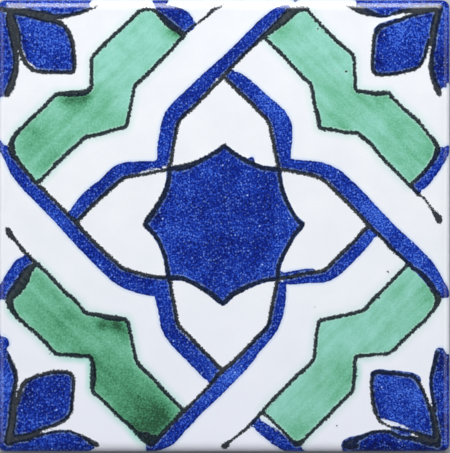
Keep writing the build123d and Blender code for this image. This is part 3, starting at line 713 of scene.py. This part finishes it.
# The pockets stand in rows on the back and meet the land at their mouths.
gaps_in_row = add(firing, "ShaderNodeMath", {0: given["Pockets in a row"], 1: 1.0}, operation="SUBTRACT")
span = add(firing, "ShaderNodeMath", {0: gaps_in_row, 1: given["Pocket pitch"]}, operation="MULTIPLY")
rows = add(firing, "GeometryNodeMeshGrid", {
    "Size X": span, "Size Y": span,
    "Vertices X": given["Pockets in a row"], "Vertices Y": given["Pockets in a row"]})
one_pocket = add(firing, "GeometryNodeObjectInfo", {"Object": given["Pocket"], "As Instance": True},
                 "Geometry")
pressed = add(firing, "GeometryNodeInstanceOnPoints", {"Points": rows, "Instance": one_pocket})
realized = add(firing, "GeometryNodeRealizeInstances", {"Geometry": pressed})
land_sheet = add(firing, "GeometryNodeObjectInfo", {"Object": given["Key land"]}, "Geometry")
back = add(firing, "GeometryNodeJoinGeometry", {0: realized})
firing.links.new(land_sheet, back.node.inputs[0])
bare = add(firing, "GeometryNodeSetMaterial", {"Geometry": back, "Material": given["Biscuit"]})
whole_tile = add(firing, "GeometryNodeJoinGeometry", {0: bare})
firing.links.new(glazed, whole_tile.node.inputs[0])
closed = add(firing, "GeometryNodeMergeByDistance", {"Geometry": whole_tile, "Distance": 0.002 * mm})
firing.links.new(closed, firing.nodes.new("NodeGroupOutput").inputs[0])


def linear(hex_colour):
    """A colour as shaders take it, from its sRGB hex value."""
    channels = (int(hex_colour[k:k + 2], 16) / 255 for k in (1, 3, 5))
    return (*(c / 12.92 if c <= 0.04045 else ((c + 0.055) / 1.055) ** 2.4 for c in channels), 1)


def new_material(name):
    """A material, its tree and shader, and its surface coordinates in millimetres."""
    material = bpy.data.materials.new(name)
    material.use_nodes = True
    tree = material.node_tree
    shader = tree.nodes["Principled BSDF"]
    place = tree.nodes.new("ShaderNodeTexCoord").outputs["Object"]
    in_mm = add(tree, "ShaderNodeMapping", {"Vector": place, "Scale": (1 / mm, 1 / mm, 1 / mm)})
    return material, tree, shader, in_mm


# Pressed earthenware, fired without glaze: matt buff clay with a sandy grain, open pores darkened with
# painted shade, and a faint cloud where the kiln's heat was uneven.
def biscuit(tree, place):
    """The colour of the bare clay, with painted shade in its pores, and its height in millimetres."""
    sand = add(tree, "ShaderNodeTexNoise",
               {"Vector": place, "Scale": 1 / 0.45, "Detail": 4.0, "Roughness": 0.65})
    heat = add(tree, "ShaderNodeTexNoise", {"Vector": place, "Scale": 1 / 22, "Detail": 2.0})
    warm = add(tree, "ShaderNodeMix", {0: heat, 6: linear("#d9bea2"), 7: linear("#c9a688")}, 2,
               data_type="RGBA")
    grain = add(tree, "ShaderNodeMapRange", {0: sand, 1: 0.35, 2: 0.7})
    clay = add(tree, "ShaderNodeMix", {0: grain, 6: warm, 7: linear("#e6d3bc")}, 2, data_type="RGBA")
    cells = add(tree, "ShaderNodeTexVoronoi", {"Vector": place, "Scale": 1 / 1.6}, "Distance")
    pore = add(tree, "ShaderNodeMapRange", {0: cells, 1: 0.16, 2: 0.05}, interpolation_type="SMOOTHSTEP")
    # the pores are darkened in colour: painted shade inside them
    pores_with_painted_shade = add(tree, "ShaderNodeMix", {0: pore, 6: clay, 7: linear("#93765c")}, 2, data_type="RGBA")
    rough = add(tree, "ShaderNodeMapRange", {0: sand, 3: 0.0, 4: 0.16})
    deep = add(tree, "ShaderNodeMath", {0: pore, 1: 0.12}, operation="MULTIPLY")
    return pores_with_painted_shade, add(tree, "ShaderNodeMath", {0: rough, 1: deep}, operation="SUBTRACT")


biscuit_material, bare_tree, bare_shader, bare_place = new_material("pressed_earthenware_biscuit")
bare_colour, bare_height = biscuit(bare_tree, bare_place)
bare_normal = add(bare_tree, "ShaderNodeBump", {"Height": bare_height, "Distance": mm, "Strength": 0.6})
bare_tree.links.new(bare_colour, bare_shader.inputs["Base Color"])
bare_tree.links.new(bare_normal, bare_shader.inputs["Normal"])
bare_shader.inputs["Roughness"].default_value = 0.88
bare_shader.inputs["Specular IOR Level"].default_value = 0.25

# Tin glaze over earthenware, painted before firing with oxides that sink into it. The eye gets a
# white gloss with a breath of blue, grainy cobalt with pale specks, washed copper green that pools
# along the lines, and manganese ink that breaks up at its edges.
glaze_material, glaze, shader, place = new_material("painted_tin_glaze")
x, y, z = (add(glaze, "ShaderNodeSeparateXYZ", {0: place}, axis) for axis in "XYZ")
ink_edge, cobalt_edge, green_edge, green_deep, cobalt_deep = (
    add(glaze, "ShaderNodeAttribute", {}, "Fac", attribute_name=name)
    for name in ("ink_gap", "cobalt_gap", "green_gap", "green_depth", "cobalt_depth"))

# The white: clouds a centimetre wide, a fine grain where the tin isn't dissolved, and a bluer tone
# towards the lower edge, which is painted cool light falling there.
cloud = add(glaze, "ShaderNodeTexNoise",
            {"Vector": place, "Scale": 1 / 9, "Detail": 3.0, "Roughness": 0.55})
cloudy = add(glaze, "ShaderNodeMapRange", {0: cloud, 1: 0.3, 2: 0.7})
white = add(glaze, "ShaderNodeMix", {0: cloudy, 6: linear("#eaedf1"), 7: linear("#f1f3f6")}, 2,
            data_type="RGBA")
tin_grain = add(glaze, "ShaderNodeTexNoise",
                {"Vector": place, "Scale": 1 / 0.5, "Detail": 3.0, "Roughness": 0.6})
tin_spot = add(glaze, "ShaderNodeMapRange", {0: tin_grain, 1: 0.58, 2: 0.8, 4: 0.35})
white = add(glaze, "ShaderNodeMix", {0: tin_spot, 6: white, 7: linear("#d7dbe8")}, 2, data_type="RGBA")
# painted cool light: the white turns bluer towards the lower edge
painted_cool_light = add(glaze, "ShaderNodeMapRange", {0: y, 1: 5.0, 2: -45.0, 4: 0.75})
white = add(glaze, "ShaderNodeMix", {0: painted_cool_light, 6: white, 7: linear("#eff1fb")}, 2, data_type="RGBA")

# Copper green: a thin wash with the hairs of a brush drawn slantwise along each panel, puddles and
# flecks. Each is measured as a change in the wash's depth.
product = add(glaze, "ShaderNodeMath", {0: x, 1: y}, operation="MULTIPLY")
slant = add(glaze, "ShaderNodeMath", {0: product}, operation="SIGN")
slant_y = add(glaze, "ShaderNodeMath", {0: slant, 1: y}, operation="MULTIPLY")
across = add(glaze, "ShaderNodeMath", {0: x, 1: slant_y}, operation="ADD")
along = add(glaze, "ShaderNodeMath", {0: x, 1: slant_y}, operation="SUBTRACT")
along_less = add(glaze, "ShaderNodeMath", {0: along, 1: 0.12}, operation="MULTIPLY")
brush_way = add(glaze, "ShaderNodeCombineXYZ", {0: across, 1: along_less})
hairs = add(glaze, "ShaderNodeTexNoise", {"Vector": brush_way, "Scale": 1 / 2.6, "Detail": 3.0})
puddle = add(glaze, "ShaderNodeTexNoise", {"Vector": place, "Scale": 1 / 4, "Detail": 3.0})
fleck = add(glaze, "ShaderNodeTexNoise",
            {"Vector": place, "Scale": 1 / 0.4, "Detail": 2.0, "Roughness": 0.6})
hair_depth = add(glaze, "ShaderNodeMapRange", {0: hairs, 1: 0.3, 2: 0.7, 3: -0.09, 4: 0.09}, clamp=False)
puddle_depth = add(glaze, "ShaderNodeMapRange", {0: puddle, 1: 0.3, 2: 0.7, 3: -0.08, 4: 0.08},
                   clamp=False)
fleck_depth = add(glaze, "ShaderNodeMapRange", {0: fleck, 1: 0.3, 2: 0.7, 3: -0.22, 4: 0.22}, clamp=False)
fleck_depth = add(glaze, "ShaderNodeMath", {0: fleck_depth, 1: green_deep}, operation="MULTIPLY")
wash = green_deep
for depth in (hair_depth, puddle_depth, fleck_depth):
    wash = add(glaze, "ShaderNodeMath", {0: wash, 1: depth}, operation="ADD")
green = add(glaze, "ShaderNodeValToRGB", {0: wash}, stops=[
    (0.0, "#abe0d2"), (0.2, "#93d3c2"), (0.45, "#72bb99"), (0.7, "#4e976f"), (1.0, "#2a573c")])

# Some of the green bleeds up to 2.4 mm past the panels, most where the wash is deep. Along the ink a
# thin wash shrank back and left a pale line.
bleed = add(glaze, "ShaderNodeMapRange", {0: green_edge, 1: 2.4, 2: 0.2}, interpolation_type="SMOOTHSTEP")
bleed = add(glaze, "ShaderNodeMath", {0: bleed, 1: green_deep}, operation="MULTIPLY")
bleed = add(glaze, "ShaderNodeMath", {0: bleed, 1: 0.95}, operation="MULTIPLY")
tinted = add(glaze, "ShaderNodeMix", {0: bleed, 6: white, 7: linear("#9fdccd")}, 2, data_type="RGBA")
pale = add(glaze, "ShaderNodeMapRange", {0: ink_edge, 1: 0.5, 2: 0.1}, interpolation_type="SMOOTHSTEP")
pale = add(glaze, "ShaderNodeMath", {0: pale, 1: puddle}, operation="MULTIPLY")
thin_wash = add(glaze, "ShaderNodeMapRange", {0: green_deep, 1: 0.45, 2: 0.7, 3: 0.8, 4: 0.1})
pale = add(glaze, "ShaderNodeMath", {0: pale, 1: thin_wash}, operation="MULTIPLY")
green = add(glaze, "ShaderNodeMix", {0: pale, 6: green, 7: linear("#c4e6da")}, 2, data_type="RGBA")
green_cover = add(glaze, "ShaderNodeMapRange", {0: green_edge, 1: 0.12, 2: -0.12},
                  interpolation_type="SMOOTHSTEP")
layer = add(glaze, "ShaderNodeMix", {0: green_cover, 6: tinted, 7: green}, 2, data_type="RGBA")

# Cobalt: laid thick and grainy over slow drifts, a little thicker where it pooled inside its edge.
drift = add(glaze, "ShaderNodeTexNoise",
            {"Vector": place, "Scale": 1 / 7, "Detail": 3.0, "Roughness": 0.6})
grain = add(glaze, "ShaderNodeTexNoise",
            {"Vector": place, "Scale": 1 / 0.42, "Detail": 3.0, "Roughness": 0.7})
drift_depth = add(glaze, "ShaderNodeMapRange", {0: drift, 1: 0.3, 2: 0.7, 3: 0.18, 4: -0.18}, clamp=False)
grain_depth = add(glaze, "ShaderNodeMapRange", {0: grain, 1: 0.3, 2: 0.7, 3: 0.56, 4: -0.56}, clamp=False)
pooled = add(glaze, "ShaderNodeMapRange", {0: cobalt_edge, 1: -0.55, 2: -0.15, 4: 0.2},
             interpolation_type="SMOOTHSTEP")
load = cobalt_deep
for depth in (drift_depth, grain_depth, pooled):
    load = add(glaze, "ShaderNodeMath", {0: load, 1: depth}, operation="ADD")
cobalt = add(glaze, "ShaderNodeValToRGB", {0: load}, stops=[
    (0.0, "#4f7ee6"), (0.25, "#224abf"), (0.5, "#062690"), (0.75, "#031a78"), (1.0, "#020c48")])

# Pale specks sit in it half a millimetre apart, and now and then a grain that didn't dissolve.
cells = add(glaze, "ShaderNodeTexVoronoi", {"Vector": place, "Scale": 1 / 0.55})
dots, chance = cells.node.outputs["Distance"], cells.node.outputs["Color"]
luck = add(glaze, "ShaderNodeSeparateColor", {0: chance}, "Red")
chosen = add(glaze, "ShaderNodeMapRange", {0: luck, 1: 0.35, 2: 1.0})
dot = add(glaze, "ShaderNodeMapRange", {0: dots, 1: 0.5, 2: 0.12}, interpolation_type="SMOOTHSTEP")
speck = add(glaze, "ShaderNodeMath", {0: dot, 1: chosen}, operation="MULTIPLY")
speck = add(glaze, "ShaderNodeMath", {0: speck, 1: 0.75}, operation="MULTIPLY")
cobalt = add(glaze, "ShaderNodeMix", {0: speck, 6: cobalt, 7: linear("#739af0")}, 2, data_type="RGBA")
far_cells = add(glaze, "ShaderNodeTexVoronoi", {"Vector": place, "Scale": 1 / 1.7})
far_dots, far_chance = far_cells.node.outputs["Distance"], far_cells.node.outputs["Color"]
far_luck = add(glaze, "ShaderNodeSeparateColor", {0: far_chance}, "Green")
far_chosen = add(glaze, "ShaderNodeMapRange", {0: far_luck, 1: 0.55, 2: 0.9})
far_dot = add(glaze, "ShaderNodeMapRange", {0: far_dots, 1: 0.16, 2: 0.06}, interpolation_type="SMOOTHSTEP")
undissolved = add(glaze, "ShaderNodeMath", {0: far_dot, 1: far_chosen}, operation="MULTIPLY")
cobalt = add(glaze, "ShaderNodeMix", {0: undissolved, 6: cobalt, 7: linear("#a0c0f8")}, 2,
             data_type="RGBA")

# Its edge is ragged and runs up to the ink, where broken pale streaks are left. Round it the white
# takes on a breath of blue.
ragged = add(glaze, "ShaderNodeTexNoise",
             {"Vector": place, "Scale": 1 / 0.9, "Detail": 3.0, "Roughness": 0.6})
raggedness = add(glaze, "ShaderNodeMapRange", {0: ragged, 3: -0.25, 4: 0.25}, clamp=False)
cobalt_line = add(glaze, "ShaderNodeMath", {0: cobalt_edge, 1: raggedness}, operation="ADD")
drawn_to_ink = add(glaze, "ShaderNodeMapRange", {0: ink_edge, 1: 0.8, 2: 0.1, 3: 0.0, 4: 0.5})
cobalt_line = add(glaze, "ShaderNodeMath", {0: cobalt_line, 1: drawn_to_ink}, operation="SUBTRACT")
by_ink = add(glaze, "ShaderNodeMapRange", {0: ink_edge, 1: 0.5, 2: 0.1}, interpolation_type="SMOOTHSTEP")
patchy = add(glaze, "ShaderNodeMapRange", {0: ragged, 1: 0.42, 2: 0.62, 3: 0.0, 4: 0.5})
by_ink = add(glaze, "ShaderNodeMath", {0: by_ink, 1: patchy}, operation="MULTIPLY")
cobalt = add(glaze, "ShaderNodeMix", {0: by_ink, 6: cobalt, 7: linear("#9dbdf0")}, 2, data_type="RGBA")
blue_breath = add(glaze, "ShaderNodeMapRange", {0: cobalt_edge, 1: 0.8, 2: 0.1, 3: 0.0, 4: 0.4},
                  interpolation_type="SMOOTHSTEP")
layer = add(glaze, "ShaderNodeMix", {0: blue_breath, 6: layer, 7: linear("#a5c6f7")}, 2, data_type="RGBA")
cobalt_cover = add(glaze, "ShaderNodeMapRange", {0: cobalt_line, 1: 0.12, 2: -0.1},
                   interpolation_type="SMOOTHSTEP")
layer = add(glaze, "ShaderNodeMix", {0: cobalt_cover, 6: layer, 7: cobalt}, 2, data_type="RGBA")

# Manganese ink: nearly black, with a broken edge and pinpricks where the glaze shows through.
broken = add(glaze, "ShaderNodeTexNoise",
             {"Vector": place, "Scale": 1 / 0.5, "Detail": 4.0, "Roughness": 0.65})
brokenness = add(glaze, "ShaderNodeMapRange", {0: broken, 3: -0.66, 4: 0.56}, clamp=False)
ink_line = add(glaze, "ShaderNodeMath", {0: ink_edge, 1: brokenness}, operation="ADD")
soot = add(glaze, "ShaderNodeTexNoise",
           {"Vector": place, "Scale": 1 / 0.3, "Detail": 3.0, "Roughness": 0.7})
ink = add(glaze, "ShaderNodeValToRGB", {0: soot}, stops=[
    (0.3, "#04090f"), (0.5, "#08121c"), (0.62, "#1a2a3a"), (0.72, "#6a7482"), (0.8, "#a3adb8")])

# Broad ink is streaked where the brush ran dry. Over cobalt it turns blue, and on the
# rolled edge it turns brown.
dry = add(glaze, "ShaderNodeTexNoise",
          {"Vector": brush_way, "Scale": 1 / 0.9, "Detail": 4.0, "Roughness": 0.7})
dry = add(glaze, "ShaderNodeMapRange", {0: dry, 1: 0.42, 2: 0.72, 3: 0.0, 4: 0.55})
broad = add(glaze, "ShaderNodeMapRange", {0: ink_edge, 1: -0.35, 2: -0.8})
dry = add(glaze, "ShaderNodeMath", {0: dry, 1: broad}, operation="MULTIPLY")
ink = add(glaze, "ShaderNodeMix", {0: dry, 6: ink, 7: linear("#5c605f")}, 2, data_type="RGBA")
over_cobalt = add(glaze, "ShaderNodeMapRange", {0: cobalt_edge, 1: 0.7, 2: -0.5, 3: 0.0, 4: 0.3})
ink = add(glaze, "ShaderNodeMix", {0: over_cobalt, 6: ink, 7: linear("#0d1f58")}, 2, data_type="RGBA")
on_roll = add(glaze, "ShaderNodeMapRange", {0: z, 1: thickness - 0.25, 2: thickness - 0.7, 4: 0.4})
no_cobalt = add(glaze, "ShaderNodeMapRange", {0: cobalt_cover, 3: 1.0, 4: 0.2})
on_roll = add(glaze, "ShaderNodeMath", {0: on_roll, 1: no_cobalt}, operation="MULTIPLY")
ink = add(glaze, "ShaderNodeMix", {0: on_roll, 6: ink, 7: linear("#8d735e")}, 2, data_type="RGBA")
ink_cover = add(glaze, "ShaderNodeMapRange", {0: ink_line, 1: 0.13, 2: -0.13, 4: 0.97},
                interpolation_type="SMOOTHSTEP")
layer = add(glaze, "ShaderNodeMix", {0: ink_cover, 6: layer, 7: ink}, 2, data_type="RGBA")

# The glaze ends in an uneven line above the foot, and the clay is bare below it.
run = add(glaze, "ShaderNodeTexNoise", {"Vector": place, "Scale": 1 / 5, "Detail": 3.0})
glaze_foot = add(glaze, "ShaderNodeMapRange", {0: run, 1: 0.3, 2: 0.7, 3: 0.6, 4: 3.4}, clamp=False)
above = add(glaze, "ShaderNodeMath", {0: z, 1: glaze_foot}, operation="SUBTRACT")
bare_clay = add(glaze, "ShaderNodeMapRange", {0: above, 1: 0.15, 2: -0.15}, interpolation_type="SMOOTHSTEP")
clay_colour, clay_height = biscuit(glaze, place)
colour = add(glaze, "ShaderNodeMix", {0: bare_clay, 6: layer, 7: clay_colour}, 2, data_type="RGBA")

# Gloss is even over the white, a little broken over the cobalt and duller over the ink. The glaze has
# a fine orange peel, and the cobalt's grain stands up in it.
gloss = add(glaze, "ShaderNodeMapRange", {0: cobalt_cover, 3: 0.12, 4: 0.16})
gloss = add(glaze, "ShaderNodeMix", {0: ink_cover, 2: gloss, 3: 0.14})
gloss = add(glaze, "ShaderNodeMix", {0: bare_clay, 2: gloss, 3: 0.88})
peel = add(glaze, "ShaderNodeTexNoise", {"Vector": place, "Scale": 1 / 1.8, "Detail": 2.0})
peel_height = add(glaze, "ShaderNodeMath", {0: peel, 1: 0.03}, operation="MULTIPLY")
cobalt_grain = add(glaze, "ShaderNodeMath", {0: grain, 1: cobalt_cover}, operation="MULTIPLY")
cobalt_height = add(glaze, "ShaderNodeMath", {0: cobalt_grain, 1: 0.025}, operation="MULTIPLY")
glaze_height = add(glaze, "ShaderNodeMath", {0: peel_height, 1: cobalt_height}, operation="ADD")
height = add(glaze, "ShaderNodeMix", {0: bare_clay, 2: glaze_height, 3: clay_height})
bumped = add(glaze, "ShaderNodeBump", {"Height": height, "Distance": mm, "Strength": 0.7})
glaze.links.new(colour, shader.inputs["Base Color"])
glaze.links.new(gloss, shader.inputs["Roughness"])
glaze.links.new(bumped, shader.inputs["Normal"])
shader.inputs["IOR"].default_value = 1.5

# The two parts of the back get their clay beforehand, so that joining them leaves no empty slot. The
# tree's sizes are in millimetres, apart from the pitch.
for part_of_back in (key_land, pocket):
    part_of_back.data.materials.append(biscuit_material)
modifier = slab.modifiers.new("firing", "NODES")
modifier.node_group = firing
values = {
    **brushwork_objects,
    "Key land": key_land,
    "Pocket": pocket,
    "Point spacing": 0.3,
    "Widest stroke": 2.2,
    "Ink ridge": 0.05,
    "Cobalt rise": 0.04,
    "Glaze waves": 0.05,
    "Pocket pitch": key_pitch * mm,
    "Pockets in a row": key_count,
    "Glaze": glaze_material,
    "Biscuit": biscuit_material,
}
for name, value in values.items():
    modifier[sockets[name].identifier] = value
depsgraph = bpy.context.evaluated_depsgraph_get()
fired_mesh = bpy.data.meshes.new_from_object(
    slab.evaluated_get(depsgraph), preserve_all_data_layers=True, depsgraph=depsgraph)
for helper in (slab, key_land, pocket, *brushwork_objects.values()):
    bpy.data.objects.remove(helper)
tile = bpy.data.objects.new("tile_painted", fired_mesh)
bpy.context.scene.collection.objects.link(tile)

# The roll and the relief are smooth. The pockets' rims and the arris of the foot stay sharp.
fired_mesh.shade_smooth()
fired_mesh.set_sharp_from_angle(angle=radians(40))

# The bake's map lays the face out with the sides folded up round it, and the back small beside it.
face_share = 0.78
back_share = 0.2
flat_reach = 2 * (half_side + thickness)
corner_point = np.zeros(len(fired_mesh.loops), dtype=np.int32)
fired_mesh.loops.foreach_get("vertex_index", corner_point)
unfolded = np.zeros(len(fired_mesh.vertices) * 3, dtype=np.float32)
fired_mesh.attributes["laid_flat"].data.foreach_get("vector", unfolded)
standing = np.zeros(len(fired_mesh.vertices) * 3, dtype=np.float32)
fired_mesh.vertices.foreach_get("co", standing)
face_slot = np.zeros(len(fired_mesh.polygons), dtype=np.int32)
fired_mesh.polygons.foreach_get("material_index", face_slot)
face_corners = np.zeros(len(fired_mesh.polygons), dtype=np.int32)
fired_mesh.polygons.foreach_get("loop_total", face_corners)
back_slot = fired_mesh.materials.find(biscuit_material.name)
on_back = np.repeat(face_slot == back_slot, face_corners)
from_above = unfolded.reshape(-1, 3)[corner_point, :2] / flat_reach + 0.5
from_below = standing.reshape(-1, 3)[corner_point, :2] / mm * (-1, 1) / (2 * half_side) + 0.5
on_map = np.where(on_back[:, None], 1 - back_share + from_below * back_share, from_above * face_share)
bake_map = fired_mesh.uv_layers.new(name="OFBake")
bake_map.data.foreach_set("uv", on_map.astype(np.float32).ravel())

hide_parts("tile")
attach(tile, "root")


# The stage: a plain pale floor, soft studio light from beyond the top edge, and a camera that looks
# straight down on the tile, as the photograph does.
floor_mesh = bpy.data.meshes.new("floor")
floor_mesh.from_pydata([(-1, -1, 0), (1, -1, 0), (1, 1, 0), (-1, 1, 0)], [], [(0, 1, 2, 3)])
floor = bpy.data.objects.new("floor", floor_mesh)
bpy.context.scene.collection.objects.link(floor)
floor_material, _, floor_shader, _ = new_material("pale_studio_floor")
floor_shader.inputs["Base Color"].default_value = linear("#b0b4bb")
floor_shader.inputs["Roughness"].default_value = 0.7
floor_mesh.materials.append(floor_material)


def soft_light(name, position, size, power, colour):
    """A rectangular soft light that faces the tile, in metres and watts."""
    light = bpy.data.lights.new(name, "AREA")
    light.shape = "RECTANGLE"
    light.size, light.size_y = size
    light.energy = power
    light.color = linear(colour)[:3]
    lamp = bpy.data.objects.new(name, light)
    lamp.location = position
    x, y, z = position
    lamp.rotation_euler = (atan2(hypot(x, y), z), 0, atan2(x, -y))
    bpy.context.scene.collection.objects.link(lamp)


# The key light and the low one draw the line of light along the upper roll. The fills stay weak, so
# that the other rims darken.
soft_light("key_from_top", (-0.02, 0.5, 0.75), (0.6, 0.4), 1.85, "#ffffff")
soft_light("low_from_top", (0, 0.41, 0.415), (0.28, 0.35), 2.85, "#fbfdff")
soft_light("fill_left", (-0.75, 0.05, 0.55), (0.5, 0.5), 1.4, "#ffffff")
soft_light("fill_right", (0.75, -0.05, 0.6), (0.5, 0.5), 1.3, "#ffffff")
world = bpy.data.worlds.new("studio")
world.use_nodes = True
world.node_tree.nodes["Background"].inputs["Color"].default_value = linear("#e9edf5")
world.node_tree.nodes["Background"].inputs["Strength"].default_value = 0.16
bpy.context.scene.world = world
bpy.context.scene.view_settings.view_transform = "Standard"

photo_width = 450
photo_height = 453
photo_scale = 4.515  # pixels to a millimetre of the tile
tile_middle = (223.9, 225.75)  # where the tile's middle is in the photograph
sensor = 36.0
camera_height = 1.2
camera_data = bpy.data.cameras.new("camera")
camera_data.sensor_fit = "HORIZONTAL"
camera_data.sensor_width = sensor
camera_data.lens = sensor * camera_height / (photo_width / photo_scale * mm)
camera_data.clip_start = 0.05
camera = bpy.data.objects.new("camera", camera_data)
camera.location = (
    (photo_width / 2 - tile_middle[0]) / photo_scale * mm,
    (tile_middle[1] - photo_height / 2) / photo_scale * mm,
    thickness * mm + camera_height,
)
bpy.context.scene.collection.objects.link(camera)
bpy.context.scene.camera = camera
